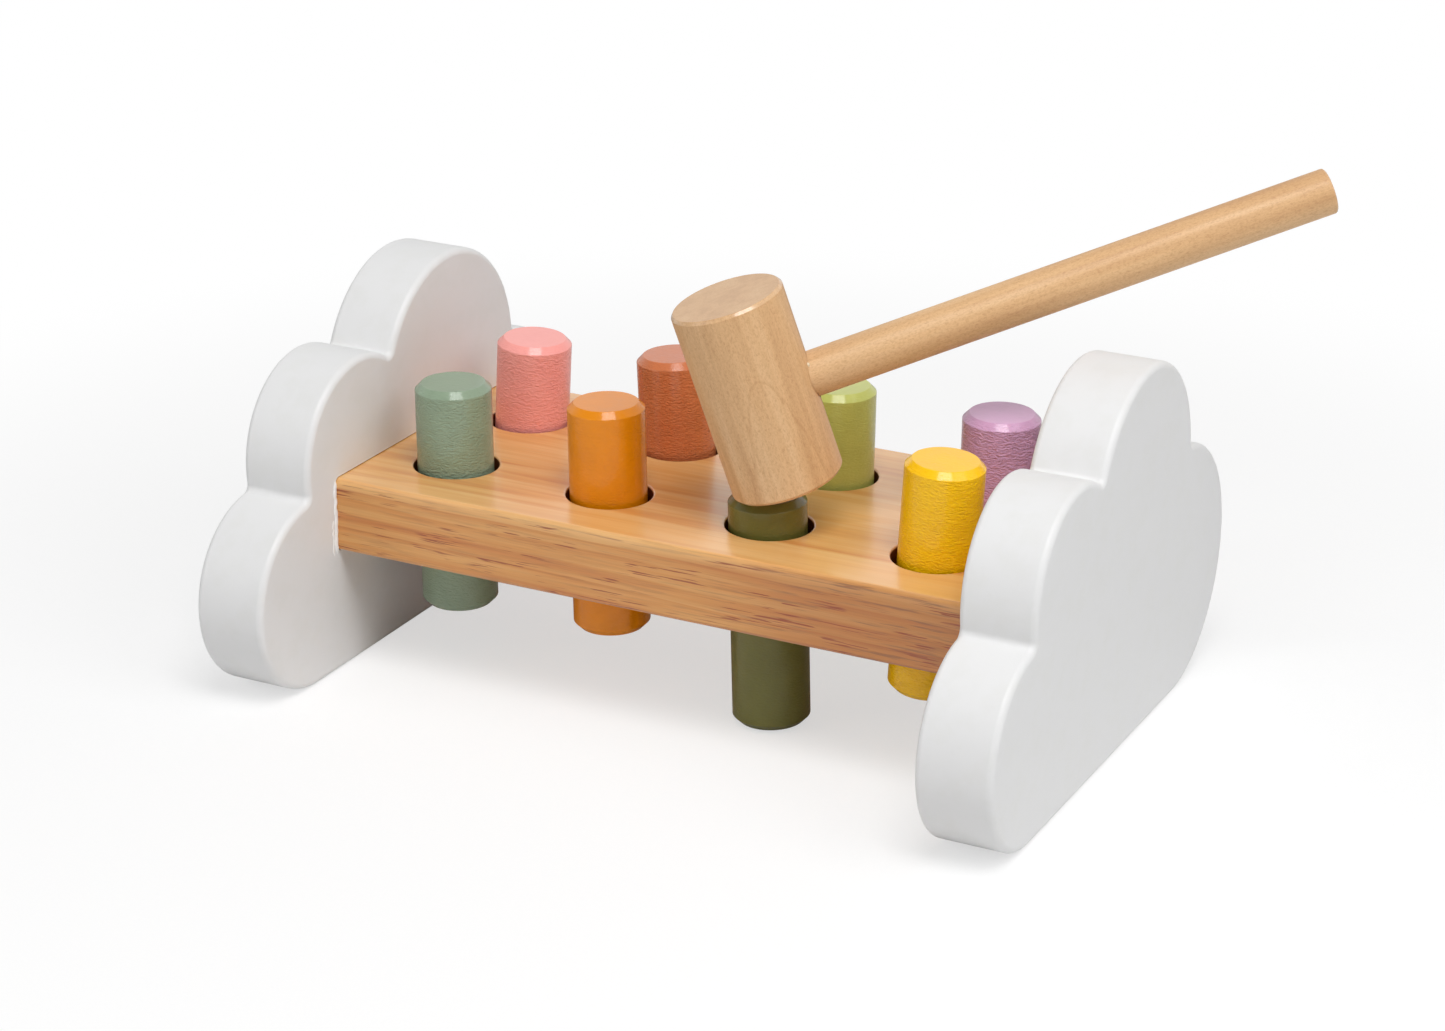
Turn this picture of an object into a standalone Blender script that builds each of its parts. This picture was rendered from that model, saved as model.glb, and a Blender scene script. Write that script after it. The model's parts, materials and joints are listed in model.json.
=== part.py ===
"""A child's pounding bench with cloud-shaped sides, eight painted pegs and a wooden mallet.

The plank lies along X between the two sides, the back of the bench is at +Y, and Z is up from
the table. The bench is laid out about the middle of its pegs, and one empty then carries the
whole toy so that the middle of its bounding box stands over the world's origin.
"""

import math

import bmesh
import bpy
from mathutils import Matrix, Vector

mm = 0.001

# Gaps that keep neighbouring pieces apart, and how far a cutter reaches past what it cuts
seat_gap = 0.3 * mm
cut_overrun = 1.0 * mm

# Cloud-shaped sides, sawn from board: the outline is four round lobes over a flat foot
side_gap = 221.0 * mm
side_thickness = 24.4 * mm
side_edge_radius = 2.2 * mm
notch_radius = 2.0 * mm
front_lobe_radius = 31.5 * mm
front_lobe_reach = 67.5 * mm
brow_lobe_radius = 31.8 * mm
brow_lobe_reach = 38.1 * mm
brow_lobe_height = 70.2 * mm
top_lobe_radius = 40.9 * mm
top_lobe_reach = 18.1 * mm
top_lobe_height = 80.6 * mm
back_lobe_radius = 41.7 * mm
back_lobe_reach = 53.8 * mm

# Plank, let into a shallow housing in each side and held by two glued dowels at each end
plank_top_height = 65.8 * mm
plank_thickness = 24.5 * mm
plank_width = 108.4 * mm
plank_edge_radius = 1.6 * mm
housing_depth = 4.0 * mm
dowel_radius = 4.0 * mm
dowel_flute_depth = 0.25 * mm
dowel_end_chamfer = 0.8 * mm
dowel_depth = 12.0 * mm
dowel_spacing = 60.0 * mm

# Pegs in two rows, each gripped by a rubber ring in a groove halfway down its bore
peg_radius = 12.3 * mm
peg_chamfer = 2.1 * mm
peg_proud_when_down = 9.2 * mm
peg_pitch = 56.0 * mm
row_spacing = 48.2 * mm
bore_play = 1.45 * mm
bore_rim_ease = 0.7 * mm
ring_section_radius = 1.9 * mm

# The pegs of each row from left to right; the struck one is driven down to the table
columns = 4
front_pegs = ("sage_peg", "orange_peg", "olive_peg", "yellow_peg")
back_pegs = ("pink_peg", "terracotta_peg", "lime_peg", "lilac_peg")
struck_peg = "olive_peg"

# How far each raised peg stands above the plank
rises = {
    "sage_peg": 27.75 * mm,
    "orange_peg": 30.45 * mm,
    "yellow_peg": 31.5 * mm,
    "pink_peg": 28.95 * mm,
    "terracotta_peg": 31.5 * mm,
    "lime_peg": 30.75 * mm,
    "lilac_peg": 30.75 * mm,
}
# The play in the bores lets each peg lean a little along the plank
lean_degrees = {
    "sage_peg": -1.0,
    "orange_peg": -1.6,
    "olive_peg": -2.0,
    "yellow_peg": 2.8,
    "pink_peg": 2.6,
    "terracotta_peg": -3.0,
    "lime_peg": 0.3,
    "lilac_peg": 0.4,
}

# Mallet: a turned head with a straight handle glued into a blind hole in its side
head_radius = 17.6 * mm
head_length = 62.0 * mm
head_edge_radius = 1.2 * mm
handle_radius = 7.15 * mm
handle_reach = 167.0 * mm
handle_height = 30.0 * mm
handle_dome = 2.8 * mm
handle_socket_depth = 20.0 * mm

# The mallet leans on the edge of the struck peg: where its lower face's middle lies from that
# peg's bore, how far the head leans over, towards which bearing, and how it is turned
mallet_right_of_bore = 6.0 * mm
mallet_behind_bore = 0.5 * mm
mallet_lean = 18.6
mallet_bearing = -150.2
mallet_turn = -175.7

paints = {
    "sage_peg": (136, 157, 132),
    "orange_peg": (214, 133, 40),
    "olive_peg": (104, 105, 62),
    "yellow_peg": (240, 180, 30),
    "pink_peg": (236, 130, 120),
    "terracotta_peg": (190, 100, 68),
    "lime_peg": (160, 172, 82),
    "lilac_peg": (165, 115, 140),
}
cloud_white = (238, 238, 236)
pine = (214, 162, 104)
beech = (212, 178, 135)
dowel_birch = (222, 196, 156)
ring_rubber = (38, 36, 34)

# Flat facets on a full turn
round_facets = 36
ring_facets = 30
ring_section_facets = 6
dowel_facets = 24
outline_facet_degrees = 9
notch_facet_degrees = 30

plank_bottom_height = plank_top_height - plank_thickness
plank_middle_height = plank_top_height - plank_thickness / 2
peg_length = plank_top_height + peg_proud_when_down
bore_radius = peg_radius + bore_play
ring_middle_radius = peg_radius + seat_gap + ring_section_radius
groove_radius = ring_middle_radius + ring_section_radius + seat_gap
groove_half_height = ring_section_radius + seat_gap
plank_end = side_gap / 2 + housing_depth - seat_gap
housing_end = side_gap / 2 + housing_depth


def clear_scene():
    for old in list(bpy.data.objects):
        bpy.data.objects.remove(old)


def linear(channel):
    share = channel / 255
    return share / 12.92 if share <= 0.04045 else ((share + 0.055) / 1.055) ** 2.4


def finish(name, colour, roughness):
    material = bpy.data.materials.new(name)
    material.use_nodes = True
    shader = material.node_tree.nodes["Principled BSDF"]
    shader.inputs["Base Color"].default_value = (*(linear(channel) for channel in colour), 1)
    shader.inputs["Roughness"].default_value = roughness
    shader.inputs["Metallic"].default_value = 0
    return material


def place(name, mesh, carrier, material, location=(0, 0, 0), rotation=(0, 0, 0)):
    piece = bpy.data.objects.new(name, mesh)
    bpy.context.collection.objects.link(piece)
    piece.parent = carrier
    piece.location = location
    piece.rotation_euler = rotation
    piece.data.materials.append(material)
    return piece


def smooth(mesh):
    mesh.shade_smooth()
    mesh.set_sharp_from_angle(angle=math.radians(35))


def mesh_from(name, shape):
    bmesh.ops.recalc_face_normals(shape, faces=shape.faces)
    mesh = bpy.data.meshes.new(name)
    shape.to_mesh(mesh)
    shape.free()
    smooth(mesh)
    return mesh


def bar_mesh(name, radius, length, facets):
    """A plain round bar about Z, centred on its own middle."""
    shape = bmesh.new()
    bmesh.ops.create_cone(
        shape, cap_ends=True, segments=facets, radius1=radius, radius2=radius, depth=length
    )
    return mesh_from(name, shape)


def turned_mesh(name, profile, facets):
    """A turned piece about Z, from (radius, height) points down its outer side."""
    shape = bmesh.new()
    points = [shape.verts.new((radius, 0, height)) for radius, height in profile]
    edges = [shape.edges.new(pair) for pair in zip(points, points[1:])]
    bmesh.ops.spin(
        shape,
        geom=points + edges,
        cent=(0, 0, 0),
        axis=(0, 0, 1),
        angle=math.tau,
        steps=facets,
        use_merge=True,
    )
    bmesh.ops.holes_fill(shape, edges=shape.edges)
    return mesh_from(name, shape)


def sawn_mesh(name, outline, thickness):
    """A board sawn to an outline in YZ and centred on its thickness along X."""
    shape = bmesh.new()
    face = shape.faces.new([shape.verts.new((-thickness / 2, y, z)) for y, z in outline])
    raised = bmesh.ops.extrude_face_region(shape, geom=[face])["geom"]
    moved = [element for element in raised if isinstance(element, bmesh.types.BMVert)]
    bmesh.ops.translate(shape, verts=moved, vec=(thickness, 0, 0))
    return mesh_from(name, shape)


def round_over(piece, width, segments):
    """Rounds or chamfers the square edges of a piece and leaves its facets alone."""
    bevel = piece.modifiers.new("round_over", "BEVEL")
    bevel.width = width
    bevel.segments = segments
    bevel.limit_method = "ANGLE"
    bevel.angle_limit = math.radians(60)
    bevel.use_clamp_overlap = False


def cut(piece, cutter):
    cutter.hide_render = True
    cutter.display_type = "WIRE"
    difference = piece.modifiers.new(cutter.name, "BOOLEAN")
    difference.operation = "DIFFERENCE"
    difference.solver = "EXACT"
    difference.object = cutter


def arc(centre, radius, start, end, facet):
    """Points along an arc, start included and end left to the arc that follows."""
    steps = max(1, round(abs(end - start) / facet))
    angles = (start + (end - start) * step / steps for step in range(steps))
    return [centre + radius * Vector((math.cos(angle), math.sin(angle))) for angle in angles]


def bearing(start, end):
    return math.atan2(end.y - start.y, end.x - start.x)


def notch_centre(first, first_radius, second, second_radius):
    """The middle of the small arc that joins two lobes, outside both of them."""
    to_first = first_radius + notch_radius
    to_second = second_radius + notch_radius
    between = second - first
    span = between.length
    along = (to_first**2 - to_second**2 + span**2) / (2 * span)
    across = math.sqrt(to_first**2 - along**2)
    direction = between / span
    return first + along * direction + across * Vector((-direction.y, direction.x))


def cloud_outline():
    """The cloud from its front lobe over the top to its back lobe; the foot closes it."""
    lobes = (
        (Vector((-front_lobe_reach, front_lobe_radius)), front_lobe_radius),
        (Vector((-brow_lobe_reach, brow_lobe_height)), brow_lobe_radius),
        (Vector((top_lobe_reach, top_lobe_height)), top_lobe_radius),
        (Vector((back_lobe_reach, back_lobe_radius)), back_lobe_radius),
    )
    lobe_facet = math.radians(outline_facet_degrees)
    notch_facet = math.radians(notch_facet_degrees)
    straight_down = -math.pi / 2
    points = []
    start = straight_down
    for (lobe, radius), (next_lobe, next_radius) in zip(lobes, lobes[1:]):
        notch = notch_centre(lobe, radius, next_lobe, next_radius)
        end = bearing(lobe, notch)
        # Each lobe is followed clockwise, so its arc ends at a smaller angle
        start += math.tau if start < end else 0
        points += arc(lobe, radius, start, end, lobe_facet)
        turn_start = bearing(notch, lobe)
        turn_end = bearing(notch, next_lobe)
        turn_end += math.tau if turn_end < turn_start else 0
        points += arc(notch, notch_radius, turn_start, turn_end, notch_facet)
        start = bearing(next_lobe, notch)
    last_lobe, last_radius = lobes[-1]
    start += math.tau if start < straight_down else 0
    points += arc(last_lobe, last_radius, start, straight_down, lobe_facet)
    points.append(last_lobe - Vector((0, last_radius)))
    return points


def plank_outline(growth):
    """The plank's cross-section in YZ with its long edges rounded, grown all round."""
    half_width = plank_width / 2 + growth
    half_height = plank_thickness / 2 + growth
    radius = plank_edge_radius + growth
    facet = math.radians(notch_facet_degrees)
    points = []
    for quarter, (side, rise) in enumerate(((1, 1), (-1, 1), (-1, -1), (1, -1))):
        corner = Vector((side * (half_width - radius), rise * (half_height - radius)))
        start = quarter * math.pi / 2
        points += arc(corner, radius, start, start + math.pi / 2, facet)
        end = start + math.pi / 2
        points.append(corner + radius * Vector((math.cos(end), math.sin(end))))
    return [point + Vector((0, plank_middle_height)) for point in points]


def dowel_holes(carrier, end):
    """Cutters for the two dowel holes at one end of the plank, through plank and side alike."""
    hole_length = 2 * (dowel_depth + seat_gap)
    mesh = bar_mesh("dowel_hole", dowel_radius + seat_gap, hole_length, dowel_facets)
    middle = end * (housing_end - seat_gap / 2)
    holes = []
    for side in (-1, 1):
        location = (middle, side * dowel_spacing / 2, plank_middle_height)
        hole = place("dowel_hole", mesh, carrier, None, location, (0, math.pi / 2, 0))
        holes.append(hole)
    return holes


def make_sides(carrier):
    paint = finish("cloud_white_paint", cloud_white, 0.45)
    board = sawn_mesh("cloud_side", cloud_outline(), side_thickness)
    housing = sawn_mesh("housing", plank_outline(seat_gap), housing_depth + cut_overrun)
    for name, end in (("cloud_side_left", -1), ("cloud_side_right", 1)):
        location = (end * (side_gap + side_thickness) / 2, 0, 0)
        side = place(name, board, carrier, paint, location)
        round_over(side, side_edge_radius, 3)
        pocket_middle = end * (housing_end - (housing_depth + cut_overrun) / 2)
        cut(side, place("housing_cutter", housing, carrier, None, (pocket_middle, 0, 0)))
        for hole in dowel_holes(carrier, end):
            cut(side, hole)


def make_dowels(carrier):
    birch = finish("dowel_birch", dowel_birch, 0.7)
    flutes = []
    for step in range(dowel_facets):
        angle = math.tau * step / dowel_facets
        radius = dowel_radius - dowel_flute_depth * (step % 2)
        flutes.append(radius * Vector((math.cos(angle), math.sin(angle))))
    mesh = sawn_mesh("dowel", flutes, 2 * dowel_depth)
    for end_name, end in (("left", -1), ("right", 1)):
        for side_name, side in (("front", -1), ("back", 1)):
            middle = end * (housing_end - seat_gap / 2)
            location = (middle, side * dowel_spacing / 2, plank_middle_height)
            dowel = place(f"dowel_{end_name}_{side_name}", mesh, carrier, birch, location)
            round_over(dowel, dowel_end_chamfer, 1)


def bore_mesh():
    """Cutter for one bore: eased rims top and bottom, and the ring's groove halfway down."""
    rim = plank_thickness / 2
    flare = bore_radius + bore_rim_ease + cut_overrun
    upper = (
        (flare, rim + cut_overrun),
        (bore_radius, rim - bore_rim_ease),
        (bore_radius, groove_half_height),
        (groove_radius, groove_half_height),
    )
    lower = tuple((radius, -height) for radius, height in reversed(upper))
    return turned_mesh("bore", upper + lower, round_facets)


def bore_places():
    """Each peg's name, with the middle of its bore halfway down the plank."""
    places = {}
    for row, side in ((front_pegs, -1), (back_pegs, 1)):
        for column, name in enumerate(row):
            x = (column - (columns - 1) / 2) * peg_pitch
            places[name] = Vector((x, side * row_spacing / 2, plank_middle_height))
    return places


def make_plank(carrier):
    wood = finish("varnished_pine", pine, 0.4)
    plank = place("plank", sawn_mesh("plank", plank_outline(0), 2 * plank_end), carrier, wood)
    bore = bore_mesh()
    for name, place_of_bore in bore_places().items():
        cut(plank, place(name + "_bore", bore, carrier, None, place_of_bore))
    for end in (-1, 1):
        for hole in dowel_holes(carrier, end):
            cut(plank, hole)


def make_grip_rings(carrier):
    rubber = finish("grip_rubber", ring_rubber, 0.8)
    shape = bmesh.new()
    section = bmesh.ops.create_circle(
        shape,
        segments=ring_section_facets,
        radius=ring_section_radius,
        matrix=Matrix.Translation((ring_middle_radius, 0, 0)) @ Matrix.Rotation(math.pi / 2, 4, "X"),
    )
    bmesh.ops.spin(
        shape,
        geom=section["verts"] + list(shape.edges),
        cent=(0, 0, 0),
        axis=(0, 0, 1),
        angle=math.tau,
        steps=ring_facets,
        use_merge=True,
    )
    mesh = mesh_from("grip_ring", shape)
    for name, place_of_bore in bore_places().items():
        place("grip_ring_" + name.removesuffix("_peg"), mesh, carrier, rubber, place_of_bore)


def peg_top_and_axis(name):
    """The middle of a peg's top face, and the direction that it slides along."""
    bore = bore_places()[name]
    axis = Matrix.Rotation(math.radians(lean_degrees[name]), 3, "Y") @ Vector((0, 0, 1))
    if name == struck_peg:
        # Struck right down, its lower rim stands on the table
        rim_drop = (peg_radius - peg_chamfer) * math.sqrt(1 - axis.z**2)
        top_height = seat_gap + rim_drop + peg_length * axis.z
    else:
        top_height = plank_top_height + rises[name]
    return bore + axis * (top_height - bore.z) / axis.z, axis


def make_pegs(carrier):
    mesh = bar_mesh("peg", peg_radius, peg_length, round_facets)
    for name in front_pegs + back_pegs:
        top, axis = peg_top_and_axis(name)
        paint = finish(name.replace("_peg", "_paint"), paints[name], 0.4)
        turn = (0, math.radians(lean_degrees[name]), 0)
        peg = place(name, mesh.copy(), carrier, paint, top - axis * peg_length / 2, turn)
        round_over(peg, peg_chamfer, 1)


def mallet_seat(turn):
    """The middle of the head's lower face, which rests on the edge of the struck peg's top."""
    top, peg_axis = peg_top_and_axis(struck_peg)
    head_axis = turn @ Vector((0, 0, 1))
    rim_lift = (peg_radius - peg_chamfer) * math.sqrt(1 - head_axis.dot(peg_axis) ** 2)
    seat = bore_places()[struck_peg] + Vector((mallet_right_of_bore, mallet_behind_bore, 0))
    level = head_axis.dot(top) + rim_lift + seat_gap
    seat.z = (level - head_axis.x * seat.x - head_axis.y * seat.y) / head_axis.z
    return seat


def handle_profile():
    """The handle from the far, domed end down to the end inside the head."""
    far_end = head_radius + handle_reach
    inner_end = head_radius - handle_socket_depth + seat_gap
    dome_steps = 4
    points = []
    for step in range(1, dome_steps + 1):
        angle = math.pi / 2 * step / dome_steps
        height = far_end - handle_dome + handle_dome * math.cos(angle)
        points.append((handle_radius * math.sin(angle), height))
    return points + [(handle_radius, inner_end)]


def make_mallet(carrier):
    wood = finish("oiled_beech", beech, 0.55)
    turn = (
        Matrix.Rotation(math.radians(mallet_bearing), 3, "Z")
        @ Matrix.Rotation(math.radians(mallet_lean), 3, "Y")
        @ Matrix.Rotation(math.radians(mallet_turn), 3, "Z")
    )
    grip = bpy.data.objects.new("mallet_rest", None)
    bpy.context.collection.objects.link(grip)
    grip.parent = carrier
    grip.location = mallet_seat(turn)
    grip.rotation_euler = turn.to_euler()

    along_handle = (0, math.pi / 2, 0)
    head_mesh = bar_mesh("mallet_head", head_radius, head_length, round_facets)
    head = place("mallet_head", head_mesh, grip, wood, (0, 0, head_length / 2))
    round_over(head, head_edge_radius, 2)

    socket_length = handle_socket_depth + cut_overrun
    socket_mesh = bar_mesh("socket", handle_radius + seat_gap, socket_length, dowel_facets)
    socket_middle = (head_radius + cut_overrun - socket_length / 2, 0, handle_height)
    cut(head, place("socket_cutter", socket_mesh, grip, None, socket_middle, along_handle))

    handle_mesh = turned_mesh("mallet_handle", handle_profile(), dowel_facets)
    place("mallet_handle", handle_mesh, grip, wood, (0, 0, handle_height), along_handle)


def stand_on_origin(carrier):
    """Moves the whole toy so that the middle of its bounding box stands over the origin."""
    bpy.context.view_layer.update()
    graph = bpy.context.evaluated_depsgraph_get()
    corners = []
    for piece in carrier.children_recursive:
        if piece.type != "MESH" or piece.hide_render:
            continue
        solid = piece.evaluated_get(graph)
        corners += [solid.matrix_world @ point.co for point in solid.data.vertices]
    lowest = Vector(min(point[axis] for point in corners) for axis in range(3))
    highest = Vector(max(point[axis] for point in corners) for axis in range(3))
    middle = (lowest + highest) / 2
    carrier.location = (-middle.x, -middle.y, -lowest.z)


clear_scene()
bench = bpy.data.objects.new("pounding_bench", None)
bpy.context.collection.objects.link(bench)
make_sides(bench)
make_dowels(bench)
make_plank(bench)
make_grip_rings(bench)
make_pegs(bench)
make_mallet(bench)
stand_on_origin(bench)
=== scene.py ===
"""The looks of a child's pounding bench: two white cloud sides, a varnished pine plank, eight
painted pegs in two rows, and a beech mallet that leans on the peg it has struck down."""

import json
import math

import bmesh
import bpy
from mathutils import Matrix, Vector


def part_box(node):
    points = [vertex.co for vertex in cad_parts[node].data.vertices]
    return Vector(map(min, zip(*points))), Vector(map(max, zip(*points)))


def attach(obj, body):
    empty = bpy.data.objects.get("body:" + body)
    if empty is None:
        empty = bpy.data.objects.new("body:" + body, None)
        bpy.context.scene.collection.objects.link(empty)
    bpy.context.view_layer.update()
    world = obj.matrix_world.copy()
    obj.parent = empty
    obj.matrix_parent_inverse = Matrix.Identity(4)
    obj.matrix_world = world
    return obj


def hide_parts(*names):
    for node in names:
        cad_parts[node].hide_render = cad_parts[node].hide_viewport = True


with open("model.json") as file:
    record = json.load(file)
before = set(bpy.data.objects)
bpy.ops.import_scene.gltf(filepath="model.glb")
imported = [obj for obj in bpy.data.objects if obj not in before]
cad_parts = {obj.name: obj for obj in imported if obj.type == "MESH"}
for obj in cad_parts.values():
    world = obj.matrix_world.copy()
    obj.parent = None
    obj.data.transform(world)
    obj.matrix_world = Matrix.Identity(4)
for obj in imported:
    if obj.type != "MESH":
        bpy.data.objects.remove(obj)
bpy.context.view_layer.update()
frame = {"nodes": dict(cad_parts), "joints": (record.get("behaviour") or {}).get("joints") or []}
mm = 0.001


# The plank is one pine board with its grain along the bench, its long edges rounded over and
# eight holes bored and eased. It is sanded, given a clear satin varnish, and glued at each end
# into a shallow housing in a side, over two dowels.
plank_edge_radius = 1.6 * mm
plank_edge_steps = 6
bore_radius = 13.75 * mm
bore_facets = 96
bore_rim_radius = 0.8 * mm
bore_rim_steps = 4
ring_groove_radius = 16.4 * mm
ring_groove_half_height = 2.2 * mm
dowel_hole_radius = 4.3 * mm
dowel_hole_depth = 12.3 * mm
dowel_hole_facets = 48
cut_overrun = 1.0 * mm

peg_names = ("sage", "orange", "olive", "yellow", "pink", "terracotta", "lime", "lilac")
dowel_names = ("dowel_left_front", "dowel_left_back", "dowel_right_front", "dowel_right_back")

early_wood = (242, 191, 124)
spring_wood = (235, 174, 100)
late_wood = (221, 147, 77)
ring_line = (194, 113, 54)
resin_streak = (146, 52, 6)
sap_pale = (243, 193, 127)
heart_shade = (238, 221, 194)
heart_red = (232, 218, 202)
thread_dark = (142, 88, 52)
# The bores' dark brown is painted shade inside the holes
bore_shade_brown = (124, 88, 62)

# How many cells of each pattern lie in a millimetre, along the grain and both ways across it
sway_cells = (0.007, 0.03, 0.03)
streak_cells = (0.014, 0.34, 0.34)
fibre_cells = (0.05, 2.2, 2.2)
fleck_cells_across = 1.8
drift_cells = (0.008, 0.09, 0.09)
front_thread_cells = (0.05, 1.15, 1.15)
resin_cells = (0.04, 0.2, 0.2)

# Where the board's figure changes, in millimetres from its middle: each pair gives the place
# where a change begins and the place where it is complete
front_across = (-52.6, -53.8)
sap_across = (-42.0, -43.6)
sap_height = (7.0, 10.0)
heart_height = (11.0, 7.5)
redder_along = (10.0, 70.0)
resin_height = (11.6, 9.5)
bore_walls_across = (52.4, 52.0)
# How much the sapwood's line slants along the board, and how far it wanders
sap_slant = 0.045
sap_wander = 1.6

# How strongly each part of the figure shows, and how dull the varnish over it is
ring_share = 0.6
streak_share = 0.32
fibre_share = 0.5
sap_share = 0.4
front_thread_share = 0.24
red_thread_share = 0.5
resin_share = 0.9
varnish_roughness = 0.2


def linear(colour):
    """A colour as the eye picks it, from 0 to 255, made linear for a shader."""
    shares = [channel / 255 for channel in colour]
    made = [s / 12.92 if s <= 0.04045 else ((s + 0.055) / 1.055) ** 2.4 for s in shares]
    return (*made, 1)


def join(tree, value, socket):
    """Links another node's output to a socket, or sets the socket to a plain value."""
    if isinstance(value, bpy.types.NodeSocket):
        tree.links.new(value, socket)
    else:
        socket.default_value = value


def add(tree, kind, settings=None, **inputs):
    """Adds a node; each input is a plain value or another node's output."""
    made = tree.nodes.new("ShaderNode" + kind)
    for name, value in (settings or {}).items():
        setattr(made, name, value)
    for name, value in inputs.items():
        join(tree, value, made.inputs[name.replace("_", " ")])
    return made


def feed(tree, node, values):
    """Joins values to a node's inputs in their order."""
    for socket, value in zip(node.inputs, values):
        join(tree, value, socket)


def work(tree, operation, *values):
    """One step of arithmetic on numbers."""
    made = add(tree, "Math", {"operation": operation})
    feed(tree, made, values)
    return made.outputs[0]


def shift(tree, operation, *values):
    """One step of arithmetic on places or directions."""
    made = add(tree, "VectorMath", {"operation": operation})
    feed(tree, made, values)
    return made.outputs["Value" if operation in ("LENGTH", "DOT_PRODUCT") else "Vector"]


def cloudy(tree, place, cells, detail=2.0, roughness=0.5, distortion=0.0, seed=0.0):
    """Soft noise from 0 to 1; cells says how many lie in one unit of the place each way."""
    made = add(
        tree,
        "TexNoise",
        {"noise_dimensions": "4D"},
        Vector=shift(tree, "MULTIPLY", place, cells),
        W=seed,
        Scale=1.0,
        Detail=detail,
        Roughness=roughness,
        Distortion=distortion,
    )
    return made.outputs["Fac"]


def spread(tree, value, low, high, to_low=0.0, to_high=1.0):
    """Stretches the part of a value between low and high, with soft ends."""
    made = add(tree, "MapRange", {"interpolation_type": "SMOOTHSTEP"})
    feed(tree, made, (value, low, high, to_low, to_high))
    return made.outputs["Result"]


def ramp(tree, value, stops):
    """Colours laid out along a value from 0 to 1."""
    made = add(tree, "ValToRGB", Fac=value)
    made.color_ramp.interpolation = "LINEAR"
    elements = made.color_ramp.elements
    while len(elements) < len(stops):
        elements.new(1.0)
    for element, (position, colour) in zip(elements, stops):
        element.position = position
        element.color = linear(colour)
    return made.outputs["Color"]


def mix(tree, amount, first, second, mode="MIX"):
    """Colour first, changed by colour second as far as amount says."""
    made = add(tree, "Mix", {"data_type": "RGBA", "blend_type": mode})
    # A Mix node's colour sockets come after those for numbers and places
    for number, value in ((0, amount), (6, first), (7, second)):
        join(tree, value, made.inputs[number])
    return made.outputs[2]


def new_group(name, inputs, outputs):
    """An effect that several materials use, with its ways in and out by name."""
    tree = bpy.data.node_groups.new(name, "ShaderNodeTree")
    for label, kind, value in inputs:
        socket = tree.interface.new_socket(
            label, in_out="INPUT", socket_type="NodeSocket" + kind
        )
        socket.default_value = value
    for label in outputs:
        tree.interface.new_socket(label, in_out="OUTPUT", socket_type="NodeSocketFloat")
    given = tree.nodes.new("NodeGroupInput").outputs
    result = tree.nodes.new("NodeGroupOutput").inputs
    return tree, given, result


def use_group(tree, group, **inputs):
    """Places such an effect in a material, and gives back its ways out."""
    return add(tree, "Group", {"node_tree": group}, **inputs).outputs


def new_material(name):
    """A material with its shader, and a place on the piece counted in millimetres."""
    material = bpy.data.materials.new(name)
    material.use_nodes = True
    tree = material.node_tree
    shader = tree.nodes["Principled BSDF"]
    local = add(tree, "TexCoord").outputs["Object"]
    place = shift(tree, "DIVIDE", local, (mm, mm, mm))
    return material, tree, shader, place


def dress(tree, shader, tone, roughness):
    """Gives a shader a colour and a roughness that change over the surface."""
    join(tree, tone, shader.inputs["Base Color"])
    join(tree, roughness, shader.inputs["Roughness"])


def bump(tree, shader, height, strength, distance):
    """Raises the surface by a height from 0 to 1 times a distance."""
    made = add(tree, "Bump", Strength=strength, Distance=distance, Height=height)
    tree.links.new(made.outputs["Normal"], shader.inputs["Normal"])


# How a trunk has grown, seen wherever the saw or the lathe has opened it: yearly rings round
# the pith, streaks and fine fibres along the grain, short dark flecks, and a slow drift of tone
wood_figure, given, result = new_group(
    "wood_figure",
    (
        ("Place", "Vector", (0, 0, 0)),
        ("Pith", "Vector", (0, 0, 0)),
        ("Ring Width", "Float", 3.0),
        ("Tilt", "Float", 0.0),
        ("Sway", "Float", 2.0),
        ("Fleck Length", "Float", 6.0),
        ("Seed", "Float", 0.0),
    ),
    ("Rings", "Streaks", "Fibres", "Flecks", "Drift"),
)
tree = wood_figure
place = given["Place"]
seed = given["Seed"]
slow = cloudy(tree, place, sway_cells, seed=seed)
sway = work(tree, "MULTIPLY", work(tree, "SUBTRACT", slow, 0.5), given["Sway"])
from_pith = shift(tree, "SUBTRACT", place, given["Pith"])
from_pith = shift(tree, "MULTIPLY", from_pith, (0, 1, 1))
age = work(tree, "ADD", shift(tree, "LENGTH", from_pith), sway)
along = shift(tree, "DOT_PRODUCT", place, (1, 0, 0))
age = work(tree, "MULTIPLY_ADD", along, given["Tilt"], age)
years = work(tree, "DIVIDE", age, given["Ring Width"])
# Good and bad years make the rings wider and narrower
weather = add(tree, "TexNoise", {"noise_dimensions": "1D"}, W=years, Scale=0.45, Detail=1.0)
years = work(tree, "MULTIPLY_ADD", weather.outputs["Fac"], 2.2, years)
join(tree, work(tree, "FRACT", years), result["Rings"])
streaks = cloudy(tree, place, streak_cells, detail=3.0, roughness=0.55, seed=seed)
join(tree, spread(tree, streaks, 0.3, 0.7), result["Streaks"])
fibres = cloudy(tree, place, fibre_cells, detail=3.0, roughness=0.6, seed=seed)
join(tree, fibres, result["Fibres"])
fleck_cells = add(
    tree,
    "CombineXYZ",
    X=work(tree, "DIVIDE", 1.0, given["Fleck Length"]),
    Y=fleck_cells_across,
    Z=fleck_cells_across,
)
flecks = cloudy(tree, place, fleck_cells.outputs["Vector"], detail=1.0, seed=seed)
join(tree, spread(tree, flecks, 0.59, 0.64), result["Flecks"])
drift = cloudy(tree, place, drift_cells, detail=2.0, seed=seed)
join(tree, spread(tree, drift, 0.3, 0.7), result["Drift"])

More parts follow.
